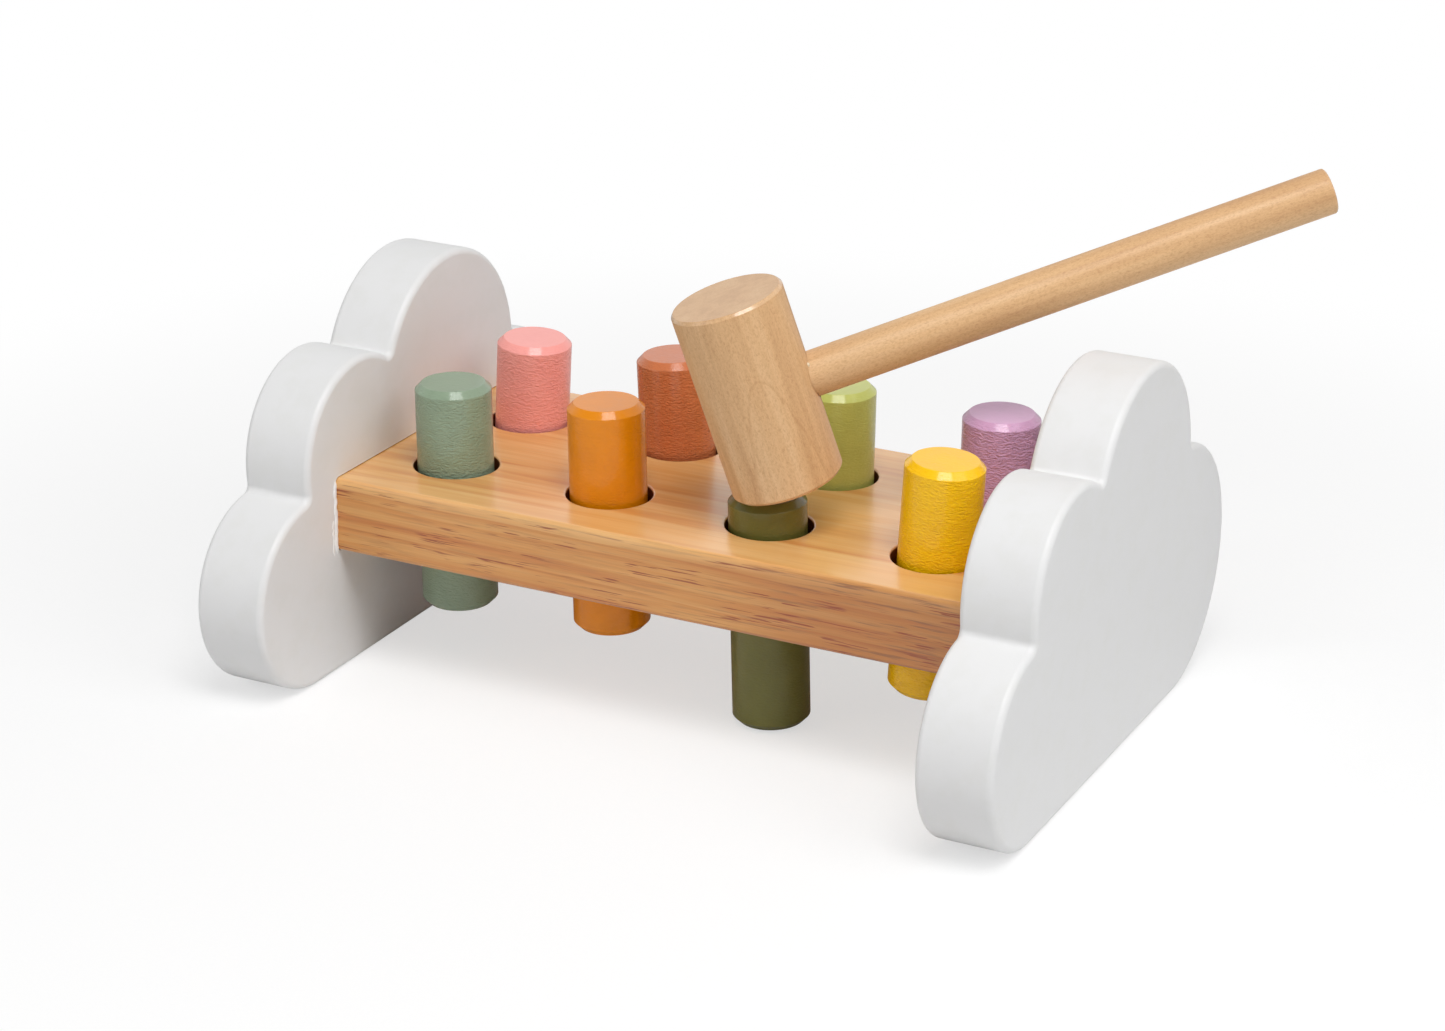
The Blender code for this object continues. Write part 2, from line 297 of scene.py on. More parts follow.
pine, tree, shader, place = new_material("varnished_pine")
figure = use_group(
    tree,
    wood_figure,
    Place=place,
    Pith=(0, 30, -150),
    Ring_Width=4.2,
    Tilt=0.02,
    Sway=7.0,
    Fleck_Length=13.0,
    Seed=3.0,
)
along, across, height = add(tree, "SeparateXYZ", Vector=place).outputs
to_front = spread(tree, across, *front_across)
# Late wood is darker and more orange, and the streaks break it up along the board
lateness = ramp(
    tree,
    figure["Rings"],
    ((0.0, (60, 60, 60)), (0.4, (120, 120, 120)), (0.88, (215, 215, 215)), (1.0, (60, 60, 60))),
)
depth = work(tree, "MULTIPLY_ADD", figure["Drift"], 0.6, 0.3)
depth = work(tree, "MULTIPLY_ADD", to_front, 0.25, depth)
dark = work(tree, "MULTIPLY", work(tree, "MULTIPLY", lateness, depth), ring_share)
dark = work(tree, "MULTIPLY_ADD", figure["Streaks"], streak_share, dark)
tone = ramp(
    tree,
    dark,
    ((0.08, early_wood), (0.32, spring_wood), (0.6, late_wood), (0.95, ring_line)),
)
fibre_tone = ramp(tree, figure["Fibres"], ((0.25, (220, 214, 206)), (0.7, (255, 255, 255))))
tone = mix(tree, fibre_share, tone, fibre_tone, "MULTIPLY")
# A strip of pale sapwood runs along the front of the top, and ends in a clean line
sap_line = work(tree, "MULTIPLY", figure["Drift"], sap_wander)
sap_line = work(tree, "MULTIPLY_ADD", along, sap_slant, sap_line)
in_sap = spread(tree, work(tree, "SUBTRACT", across, sap_line), *sap_across)
in_sap = work(tree, "MULTIPLY", in_sap, spread(tree, height, *sap_height))
tone = mix(tree, work(tree, "MULTIPLY", in_sap, sap_share), tone, linear(sap_pale))
# The front edge was sawn nearest the heart: its wood is darker, redder towards the right, and
# full of short resin streaks
in_heart = work(tree, "MULTIPLY", to_front, spread(tree, height, *heart_height))
tone = mix(tree, in_heart, tone, linear(heart_shade), "MULTIPLY")
reddened = work(tree, "MULTIPLY", to_front, spread(tree, along, *redder_along))
tone = mix(tree, reddened, tone, linear(heart_red), "MULTIPLY")
# Fine dark threads lie close together on it, most plainly towards the right
threads = cloudy(tree, place, front_thread_cells, detail=3.0, roughness=0.62, seed=14.0)
threads = spread(tree, threads, 0.5, 0.34)
thread_depth = work(tree, "MULTIPLY", reddened, red_thread_share)
thread_depth = work(tree, "MULTIPLY_ADD", to_front, front_thread_share, thread_depth)
tone = mix(tree, work(tree, "MULTIPLY", threads, thread_depth), tone, linear(thread_dark))
# The resin streaks come in clusters, and stop short of the rounded upper edge
clusters = cloudy(tree, place, resin_cells, detail=1.0, seed=6.0)
resin = work(tree, "MULTIPLY", figure["Flecks"], spread(tree, clusters, 0.46, 0.56))
resin = work(tree, "MULTIPLY", resin, spread(tree, height, *resin_height, 0.08, 1.0))
resin_depth = work(tree, "MULTIPLY_ADD", to_front, 0.65, 0.3)
resin_depth = work(tree, "MULTIPLY_ADD", reddened, 0.05, resin_depth)
resin = work(tree, "MULTIPLY", work(tree, "MULTIPLY", resin, resin_depth), resin_share)
tone = mix(tree, resin, tone, linear(resin_streak))
# The walls of the bores were cut across the grain and left bare of varnish, and are painted
# much darker, a painted shade deep in the holes
outward = add(tree, "TexCoord").outputs["Normal"]
upright = work(tree, "ABSOLUTE", shift(tree, "DOT_PRODUCT", outward, (0, 0, 1)))
inside = spread(tree, work(tree, "ABSOLUTE", across), *bore_walls_across)
bare_and_shaded = work(tree, "MULTIPLY", spread(tree, upright, 0.8, 0.2), inside)
tone = mix(tree, bare_and_shaded, tone, linear(bore_shade_brown), "MULTIPLY")
dress(tree, shader, tone, spread(tree, figure["Fibres"], 0.2, 0.8, 0.34, 0.46))
join(tree, spread(tree, bare_and_shaded, 0.0, 1.0, 0.9, 0.0), shader.inputs["Coat Weight"])
shader.inputs["Coat Roughness"].default_value = varnish_roughness
bump(tree, shader, figure["Fibres"], 0.12, 0.12 * mm)


def ease_corners(corners, radius, steps, closed=False):
    """Points along a line in a plane, with its corners rounded to a radius."""
    eased = []
    last = len(corners) - 1
    for number, corner in enumerate(corners):
        if not closed and number in (0, last):
            eased.append(Vector(corner))
            continue
        corner = Vector(corner)
        back = (Vector(corners[number - 1]) - corner).normalized()
        on = (Vector(corners[(number + 1) % len(corners)]) - corner).normalized()
        half = back.angle(on) / 2
        middle = corner + (back + on).normalized() * radius / math.sin(half)
        start = corner + back * radius / math.tan(half) - middle
        end = corner + on * radius / math.tan(half) - middle
        turn = start.angle(end)
        for step in range(steps + 1):
            share = step / steps
            blended = start * math.sin((1 - share) * turn) + end * math.sin(share * turn)
            eased.append(middle + blended / math.sin(turn))
    return eased


def skin(name, loops, joined=False):
    """A closed skin over loops of points, capped at both ends or joined round into a ring."""
    shape = bmesh.new()
    rows = [[shape.verts.new(point) for point in loop] for loop in loops]
    pairs = list(zip(rows, rows[1:]))
    if joined:
        pairs.append((rows[-1], rows[0]))
    else:
        shape.faces.new(rows[0])
        shape.faces.new(rows[-1])
    for row, next_row in pairs:
        for number, point in enumerate(row):
            on = (number + 1) % len(row)
            shape.faces.new((point, row[on], next_row[on], next_row[number]))
    bmesh.ops.recalc_face_normals(shape, faces=shape.faces)
    mesh = bpy.data.meshes.new(name)
    shape.to_mesh(mesh)
    shape.free()
    return mesh


def turned(name, profile, facets, joined=False):
    """A piece off the lathe: a profile of (radius, height) points spun about Z."""
    angles = [math.tau * step / facets for step in range(facets)]
    loops = [
        [(radius * math.cos(angle), radius * math.sin(angle), height) for angle in angles]
        for radius, height in profile
    ]
    return skin(name, loops, joined)


def put(mesh, matrix):
    """Stands a mesh in its place, as a piece of the same name."""
    piece = bpy.data.objects.new(mesh.name, mesh)
    bpy.context.collection.objects.link(piece)
    piece.matrix_world = matrix
    return piece


def carve(piece, cutters):
    """Cuts the cutters out of a piece and takes them away."""
    for cutter in cutters:
        cut = piece.modifiers.new(cutter.name, "BOOLEAN")
        cut.operation = "DIFFERENCE"
        cut.solver = "EXACT"
        cut.object = cutter
    bpy.context.view_layer.update()
    solid = piece.evaluated_get(bpy.context.evaluated_depsgraph_get())
    piece.data = bpy.data.meshes.new_from_object(solid)
    piece.modifiers.clear()
    for cutter in cutters:
        bpy.data.objects.remove(cutter)


def finish_piece(piece, material, body, node=None, sharp_degrees=40):
    """Shades a piece smooth but for its sharp corners, dresses it and joins it to the frame."""
    piece.data.materials.clear()
    piece.data.materials.append(material)
    piece.data.shade_smooth()
    piece.data.set_sharp_from_angle(angle=math.radians(sharp_degrees))
    even = piece.modifiers.new("even_shading", "WEIGHTED_NORMAL")
    even.keep_sharp = True
    even.weight = 100
    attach(piece, body)
    if node:
        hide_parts(node)


def middle_of(node):
    low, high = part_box(node)
    return (low + high) / 2


def dowel_cutters():
    """The four dowel holes, lying along the plank from each housing's floor both ways."""
    profile = [(dowel_hole_radius, -dowel_hole_depth), (dowel_hole_radius, dowel_hole_depth)]
    lying = Matrix.Rotation(math.pi / 2, 4, "Y")
    cutters = []
    for name in dowel_names:
        hole = turned("dowel_hole", profile, dowel_hole_facets)
        cutters.append(put(hole, Matrix.Translation(middle_of(name)) @ lying))
    return cutters


plank_low, plank_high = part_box("plank")
plank_middle = (plank_low + plank_high) / 2
half_size = (plank_high - plank_low) / 2
plank_corners = [
    (half_size.y, half_size.z),
    (-half_size.y, half_size.z),
    (-half_size.y, -half_size.z),
    (half_size.y, -half_size.z),
]
outline = ease_corners(plank_corners, plank_edge_radius, plank_edge_steps, closed=True)
ends = [[(x, point.x, point.y) for point in outline] for x in (-half_size.x, half_size.x)]
plank = put(skin("plank_board", ends), Matrix.Translation(plank_middle))

rim = half_size.z
flare = bore_radius + 2 * bore_rim_radius
rim_corner = [(flare, rim), (bore_radius, rim), (bore_radius, 0)]
upper = [
    (flare, rim + cut_overrun),
    *ease_corners(rim_corner, bore_rim_radius, bore_rim_steps)[1:-1],
    (bore_radius, ring_groove_half_height),
    (ring_groove_radius, ring_groove_half_height),
]
lower = [(radius, -height) for radius, height in reversed(upper)]
bores = []
for peg_name in peg_names:
    bore = turned("bore", [*upper, *lower], bore_facets)
    bores.append(put(bore, Matrix.Translation(middle_of("grip_ring_" + peg_name))))
carve(plank, bores + dowel_cutters())
finish_piece(plank, pine, "bench", "plank")


# The grip rings are soft black rubber, one in a groove halfway down each bore. They hold the
# pegs up until the mallet strikes them, and are hidden unless a peg is drawn out.
ring_middle_radius = 14.5 * mm
ring_section_radius = 1.9 * mm
ring_facets = 96
ring_section_facets = 20
rubber_black = (40, 38, 36)
rubber_worn = (62, 58, 54)
dust_cells = (0.8, 0.8, 0.8)

rubber, tree, shader, place = new_material("grip_rubber")
dust = cloudy(tree, place, dust_cells, detail=4.0, seed=5.0)
tone = ramp(tree, dust, ((0.4, rubber_black), (0.75, rubber_worn)))
dress(tree, shader, tone, spread(tree, dust, 0.3, 0.7, 0.6, 0.85))
bump(tree, shader, dust, 0.3, 0.05 * mm)

section = []
for step in range(ring_section_facets):
    angle = math.tau * step / ring_section_facets
    radius = ring_middle_radius + ring_section_radius * math.cos(angle)
    section.append((radius, ring_section_radius * math.sin(angle)))
for peg_name in peg_names:
    node = "grip_ring_" + peg_name
    mesh = turned(node + "_rubber", section, ring_facets, joined=True)
    ring = put(mesh, Matrix.Translation(middle_of(node)))
    finish_piece(ring, rubber, "bench", node)


# The dowels are fluted birch pins, glued half into the plank's end and half into a side.
# Nothing of them shows once the bench is together, so they keep the plain solids.
birch_pale = (226, 202, 162)
birch_dark = (204, 172, 128)

birch, tree, shader, place = new_material("dowel_birch")
figure = use_group(
    tree, wood_figure, Place=place, Pith=(0, 60, 20), Ring_Width=1.6, Sway=2.0, Seed=9.0
)
tone = ramp(tree, figure["Rings"], ((0.0, birch_pale), (0.9, birch_dark), (1.0, birch_pale)))
dress(tree, shader, tone, spread(tree, figure["Fibres"], 0.2, 0.8, 0.6, 0.8))
bump(tree, shader, figure["Fibres"], 0.4, 0.1 * mm)
for name in dowel_names:
    dowel = frame["nodes"][name]
    dowel.data.materials.clear()
    dowel.data.materials.append(birch)


# The two sides are sawn from board to one cloud outline: four round lobes over a flat foot,
# with small fillets in the notches. Their edges are rounded over, and they are sprayed with a
# satin off-white paint that leaves a faint orange peel. The rounded edges are painted a lighter
# white, a painted highlight.
side_edge_radius = 2.2 * mm
side_edge_steps = 6
notch_radius = 2.0 * mm
# Each lobe: its radius, how far its middle lies in front of the plank's, and its height
front_lobe = (31.5 * mm, 67.5 * mm, 31.5 * mm)
brow_lobe = (31.8 * mm, 38.1 * mm, 70.2 * mm)
top_lobe = (40.9 * mm, -18.1 * mm, 80.6 * mm)
back_lobe = (41.7 * mm, -53.8 * mm, 41.7 * mm)
lobe_facet_degrees = 2.5
notch_facet_degrees = 10
seat_gap = 0.3 * mm
housing_depth = 4.0 * mm

cloud_white = (229, 229, 229)
cloud_shade = (227, 227, 226)
# The edges' lighter white is a painted highlight
cloud_edge_highlight = (238, 238, 237)

# How many cells of each pattern lie in a millimetre
wander_cells = (0.3, 0.3, 0.3)
thickness_cells = (0.12, 0.12, 0.12)
wear_cells = (0.5, 0.5, 0.5)
# How far the ripples wander, in millimetres
ripple_wander = 0.9

# Paint over turned or sawn wood: soft ripples where the grain has lifted under it, wandering a
# little, and a slow change in how thickly it lies
paint_skin, given, result = new_group(
    "paint_skin",
    (
        ("Place", "Vector", (0, 0, 0)),
        ("Ripple Size", "Float", 1.0),
        ("Flattened", "Float", 2.0),
        ("Seed", "Float", 0.0),
    ),
    ("Ripple", "Thickness"),
)
tree = paint_skin
place = given["Place"]
seed = given["Seed"]
bent = cloudy(tree, place, wander_cells, seed=seed)
bent = work(tree, "MULTIPLY_ADD", bent, 2 * ripple_wander, -ripple_wander)
wandered = add(tree, "CombineXYZ", Z=bent).outputs["Vector"]
wandered = shift(tree, "ADD", place, wandered)
ripple_scale = work(tree, "DIVIDE", 1.0, given["Ripple Size"])
tall_scale = work(tree, "MULTIPLY", ripple_scale, given["Flattened"])
ripple_cells = add(tree, "CombineXYZ", X=ripple_scale, Y=ripple_scale, Z=tall_scale)
ripple = cloudy(
    tree,
    wandered,
    ripple_cells.outputs["Vector"],
    detail=1.6,
    roughness=0.42,
    distortion=0.5,
    seed=seed,
)
join(tree, spread(tree, ripple, 0.2, 0.8), result["Ripple"])
thickness = cloudy(tree, place, thickness_cells, detail=3.0, roughness=0.6, seed=seed)
join(tree, spread(tree, thickness, 0.3, 0.7), result["Thickness"])

# The edges of a piece, broken up as wear is: where hands and knocks reach first, and where
# the clouds and pegs get a painted highlight
edge_wear_and_highlight, given, result = new_group(
    "edge_wear_and_highlight",
    (("Place", "Vector", (0, 0, 0)), ("Reach", "Float", 1.0), ("Seed", "Float", 0.0)),
    ("Edge",),
)
tree = edge_wear_and_highlight
reach = work(tree, "MULTIPLY", given["Reach"], mm)
rounded = add(tree, "Bevel", {"samples": 6}, Radius=reach).outputs["Normal"]
flat = add(tree, "NewGeometry").outputs["Normal"]
turned_away = work(tree, "SUBTRACT", 1.0, shift(tree, "DOT_PRODUCT", rounded, flat))
broken = cloudy(
    tree, given["Place"], wear_cells, detail=4.0, roughness=0.6, seed=given["Seed"]
)
wear_and_highlight = work(tree, "MULTIPLY", spread(tree, turned_away, 0.005, 0.12), broken)
join(tree, work(tree, "MULTIPLY", wear_and_highlight, 1.6), result["Edge"])

white_paint, tree, shader, place = new_material("cloud_white_paint")
coat = use_group(tree, paint_skin, Place=place, Ripple_Size=1.1, Flattened=1.0, Seed=11.0)
wear_and_highlight = use_group(tree, edge_wear_and_highlight, Place=place, Reach=1.6, Seed=12.0)
tone = ramp(tree, coat["Thickness"], ((0.0, cloud_shade), (0.6, cloud_white)))
# The rounded edges are painted lighter: a painted highlight along them
tone = mix(tree, wear_and_highlight["Edge"], tone, linear(cloud_edge_highlight))
dress(tree, shader, tone, spread(tree, coat["Thickness"], 0.0, 1.0, 0.42, 0.52))
bump(tree, shader, coat["Ripple"], 0.08, 0.06 * mm)


def arc(centre, radius, start, end, facet):
    """Points round part of a circle, without the last one."""
    steps = max(1, round(abs(end - start) / facet))
    angles = [start + (end - start) * step / steps for step in range(steps)]
    return [centre + radius * Vector((math.cos(angle), math.sin(angle))) for angle in angles]


def notch_between(first, first_radius, second, second_radius):
    """The middle of the fillet that joins two lobes, outside both of them."""
    to_first = first_radius + notch_radius
    to_second = second_radius + notch_radius
    way = second - first
    along = (to_first**2 - to_second**2 + way.length**2) / (2 * way.length)
    out = math.sqrt(to_first**2 - along**2)
    way.normalize()
    return first + along * way + out * Vector((-way.y, way.x))


def bearing(start, end):
    return math.atan2(end.y - start.y, end.x - start.x)


def cloud_outline(inset):
    """The outline in YZ from the front lobe over the top to the back, drawn in by inset."""
    lobes = [
        (Vector((-forward, height)), radius)
        for radius, forward, height in (front_lobe, brow_lobe, top_lobe, back_lobe)
    ]
    lobe_facet = math.radians(lobe_facet_degrees)
    notch_facet = math.radians(notch_facet_degrees)
    straight_down = -math.pi / 2
    points = []
    start = straight_down
    for (lobe, radius), (next_lobe, next_radius) in zip(lobes, lobes[1:]):
        notch = notch_between(lobe, radius, next_lobe, next_radius)
        end = bearing(lobe, notch)
        start += math.tau if start < end else 0
        points += arc(lobe, radius - inset, start, end, lobe_facet)
        turn_start = bearing(notch, lobe)
        turn_end = bearing(notch, next_lobe)
        turn_end += math.tau if turn_end < turn_start else 0
        points += arc(notch, notch_radius + inset, turn_start, turn_end, notch_facet)
        start = bearing(next_lobe, notch)
    last_lobe, last_radius = lobes[-1]
    start += math.tau if start < straight_down else 0
    points += arc(last_lobe, last_radius - inset, start, straight_down, lobe_facet)
    points.append(last_lobe - Vector((0, last_radius - inset)))
    return points


pocket_corners = [
    (math.copysign(half_size.y + seat_gap, y), math.copysign(half_size.z + seat_gap, z))
    for y, z in plank_corners
]
pocket_edge_radius = plank_edge_radius + seat_gap
pocket = ease_corners(pocket_corners, pocket_edge_radius, plank_edge_steps, closed=True)
at_plank = Matrix.Translation((0, plank_middle.y, plank_middle.z))
for name, end in (("cloud_side_left", -1), ("cloud_side_right", 1)):
    low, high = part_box(name)
    half_thickness = (high.x - low.x) / 2
    edge = []
    for step in range(side_edge_steps + 1):
        angle = math.pi / 2 * step / side_edge_steps
        inset = side_edge_radius * (1 - math.sin(angle))
        edge.append((half_thickness - side_edge_radius * (1 - math.cos(angle)), inset))
    steps = [(-x, inset) for x, inset in edge] + [(x, inset) for x, inset in reversed(edge)]
    loops = [[(x, point.x, point.y) for point in cloud_outline(inset)] for x, inset in steps]
    standing = Matrix.Translation(((low.x + high.x) / 2, plank_middle.y, low.z))
    side = put(skin(name + "_board", loops), standing)

    inner_face = low.x if end > 0 else high.x
    housing_ends = (inner_face - end * cut_overrun, inner_face + end * housing_depth)
    housing_loops = [[(x, point.x, point.y) for point in pocket] for x in housing_ends]
    housing = put(skin("housing", housing_loops), at_plank)
    carve(side, [housing, *dowel_cutters()])
    finish_piece(side, white_paint, "bench", name)


# A bead of the white paint has been squeezed out where the plank's front end meets the left
# side, and has dried as a thick crooked line down the joint, with a thinner run beside its
# lower half. It is coloured whiter than the paint on the side, a painted highlight of the light
# falling on it.
bead_half_width = 1.0 * mm
bead_rise = 0.42 * mm
bead_facets = 14
bead_points = 72
bead_wander = 0.22 * mm
bead_swell = 0.15
bead_tip = 0.3
bead_tip_slope = 9
bead_lit_white = (250, 250, 250)
bead_cells = (1.3, 1.3, 0.9)
# Each line of paint: its name, its share of the sizes above, how far it stands in front of
# the plank, and the heights over the plank's lower face where it begins and ends
bead_lines = (
    ("joint_bead_left", 1.0, 0.75 * mm, -0.9 * mm, 23.9 * mm),
    ("joint_run_left", 0.5, 2.5 * mm, -1.1 * mm, 11.0 * mm),
)

bead_paint, tree, shader, place = new_material("dried_bead")
lumps = cloudy(tree, place, bead_cells, detail=3.0, seed=4.0)
# The bead is coloured whiter than the side's paint: a painted highlight of the light on it
tone = ramp(tree, lumps, ((0.3, cloud_edge_highlight), (0.7, bead_lit_white)))
dress(tree, shader, tone, spread(tree, lumps, 0.2, 0.8, 0.45, 0.65))
bump(tree, shader, lumps, 0.4, 0.15 * mm)

joint_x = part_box("cloud_side_left")[1].x
bead_angles = [math.tau * facet / bead_facets for facet in range(bead_facets)]
for name, size, stand_off, foot, top in bead_lines:
    loops = []
    for step in range(bead_points + 1):
        share = step / bead_points
        # Waves of unrelated lengths make the paint uneven and crooked without a pattern
        uneven = bead_swell * math.sin(31 * share) * math.sin(17 * share + 1)
        thickness = size * (1 - bead_swell + uneven)
        thickness *= min(1.0, bead_tip + bead_tip_slope * min(share, 1 - share))
        wander = bead_wander * math.sin(19 * share + 2 * math.sin(9 * share))
        height = plank_low.z + foot + share * (top - foot)
        middle = Vector((joint_x, plank_low.y - stand_off + wander, height))
        loop = []
        for angle in bead_angles:
            across = Vector((bead_rise * math.cos(angle), bead_half_width * math.sin(angle), 0))
            loop.append(middle + thickness * across)
        loops.append(loop)
    bead = put(skin(name, loops), Matrix.Identity(4))
    finish_piece(bead, bead_paint, "bench")


# The pegs are eight lengths of the same round beech rod, chamfered at both ends on the lathe
# and dipped in satin paint, each in its own colour. The paint has dried with fine ripples where
# the grain lifted, on some pegs far more than on others.
peg_radius = 12.3 * mm
peg_chamfer = 2.1 * mm
peg_corner_radius = 0.45 * mm
peg_corner_steps = 4
peg_facets = 128
peg_length = 75.0 * mm
peg_sharp_degrees = 60

# Each paint: its colour, how deep its creases are in millimetres, how rough it dried under its
# glossy skin, and a seed of its own
peg_paints = {
    "sage": ((141, 160, 135), 0.20, 0.42, 21.0),
    "orange": ((231, 138, 0), 0.10, 0.40, 22.0),
    "olive": ((110, 108, 49), 0.08, 0.38, 23.0),
    "yellow": ((255, 197, 0), 0.25, 0.40, 24.0),
    "pink": ((255, 165, 157), 0.17, 0.42, 25.0),
    "terracotta": ((203, 116, 70), 0.22, 0.44, 26.0),
    "lime": ((191, 196, 101), 0.10, 0.36, 27.0),
    "lilac": ((217, 169, 207), 0.32, 0.44, 28.0),
}
paint_specular = 0.12
paint_skin_weight = 0.65
paint_skin_roughness = 0.14
# How far and how much the edges pale towards white: partly wear, partly a painted highlight
wear_and_highlight_pale = 0.3
wear_and_highlight_share = 0.4
# The turned ends are close-grained, and the paint lies smoother on them: how far from a peg's
# middle that begins and is complete, in millimetres, and what is left of the creases
end_reach = (34.6, 37.5)
end_creases = 0.22


def peg_paint(name, colour, crease, roughness, seed):
    """A satin paint, a little lighter where it lies thin, and paler at its edges: partly wear,
    partly a painted highlight.
    """
    material, tree, shader, place = new_material(name + "_paint")
    coat = use_group(tree, paint_skin, Place=place, Ripple_Size=1.4, Flattened=2.6, Seed=seed)
    wear_and_highlight = use_group(tree, edge_wear_and_highlight, Place=place, Reach=0.8, Seed=seed + 0.5)
    thin = tuple(min(255, channel * 1.012 + 2) for channel in colour)
    thick = tuple(channel * 0.988 for channel in colour)
    tone = ramp(tree, coat["Thickness"], ((0.0, thick), (1.0, thin)))
    # The edges are paler: partly wear, partly a painted highlight on the chamfers
    pale = tuple(channel + (255 - channel) * wear_and_highlight_pale for channel in colour)
    tone = mix(tree, work(tree, "MULTIPLY", wear_and_highlight["Edge"], wear_and_highlight_share), tone, linear(pale))
    dried = spread(tree, coat["Thickness"], 0.0, 1.0, roughness - 0.03, roughness + 0.05)
    dress(tree, shader, tone, dried)
    shader.inputs["Specular IOR Level"].default_value = paint_specular
    shader.inputs["Coat Weight"].default_value = paint_skin_weight
    shader.inputs["Coat Roughness"].default_value = paint_skin_roughness
    height = add(tree, "SeparateXYZ", Vector=place).outputs["Z"]
    at_end = spread(tree, work(tree, "ABSOLUTE", height), *end_reach, 1.0, end_creases)
    bump(tree, shader, work(tree, "MULTIPLY", coat["Ripple"], at_end), 1.0, crease * mm)
    return material


flat_radius = peg_radius - peg_chamfer
half_length = peg_length / 2
peg_corners = [
    (flat_radius / 2, half_length),
    (flat_radius, half_length),
    (peg_radius, half_length - peg_chamfer),
    (peg_radius, peg_chamfer - half_length),
    (flat_radius, -half_length),
    (flat_radius / 2, -half_length),
]
peg_profile = ease_corners(peg_corners, peg_corner_radius, peg_corner_steps)
slides = {joint["child"]: Vector(joint["axis"]) for joint in frame["joints"]}
for peg_name in peg_names:
    node = peg_name + "_peg"
    leaning = Vector((0, 0, 1)).rotation_difference(slides[peg_name]).to_matrix().to_4x4()
    mesh = turned(node + "_turned", peg_profile, peg_facets)
    peg = put(mesh, Matrix.Translation(middle_of(node)) @ leaning)
    paint = peg_paint(peg_name, *peg_paints[peg_name])
    finish_piece(peg, paint, peg_name, node, peg_sharp_degrees)


# The mallet is bare beech with a thin coat of oil. Its head is turned with the grain along it,
# and its rims are just broken. The handle is a straight rod with a nearly flat end, glued into
# a hole bored across the head.
head_radius = 17.6 * mm
head_length = 62.0 * mm
head_rim_in = 0.85 * mm
head_rim_down = 1.0 * mm
head_rim_radius = 0.4 * mm
head_rim_steps = 3
head_facets = 144
handle_radius = 7.15 * mm
handle_reach = 167.0 * mm
handle_height = 30.0 * mm
handle_trim = 0.5 * mm
handle_crown = 0.3 * mm
handle_end_radius = 0.9 * mm
handle_end_steps = 5
handle_facets = 96
socket_depth = 20.0 * mm
mallet_lean = 18.6
mallet_bearing = -150.2
mallet_turn = -175.7

beech_pale = (232, 194, 148)
beech_mid = (224, 182, 134)
beech_dark = (202, 156, 110)
beech_line = (190, 136, 86)
# The end faces' greyer tone is a painted sheen, the veil of a reflection on them
beech_sheen_tint = (214, 184, 156)
beech_fleck = (178, 124, 82)
burnished = (196, 138, 88)
pore_cells = (2.3, 2.3, 1.2)

# How strongly each part of the figure shows, and how the oil shines
beech_drift_share = 0.6
beech_streak_share = 0.32
beech_ring_share = 0.34
beech_fibre_share = 0.34
beech_pore_share = 0.5
beech_fleck_share = 0.22
beech_worn_share = 0.45
sheen_tint_share = 0.45
oil_specular = 0.3
oil_skin_roughness = 0.14

# One year's line runs up the head's front, arches over and comes down again: where the arch
# stands from the head's middle and lower face, in millimetres, how it bends and slants, how
# wide and crooked the line is, and where it begins and is complete towards the front
arch_middle = 2.45
arch_height = 38.5
arch_bend = 0.28
arch_slant = 1.05
arch_half_width = 0.75
arch_wobble = 0.8
arch_front = (-8.0, -14.0)


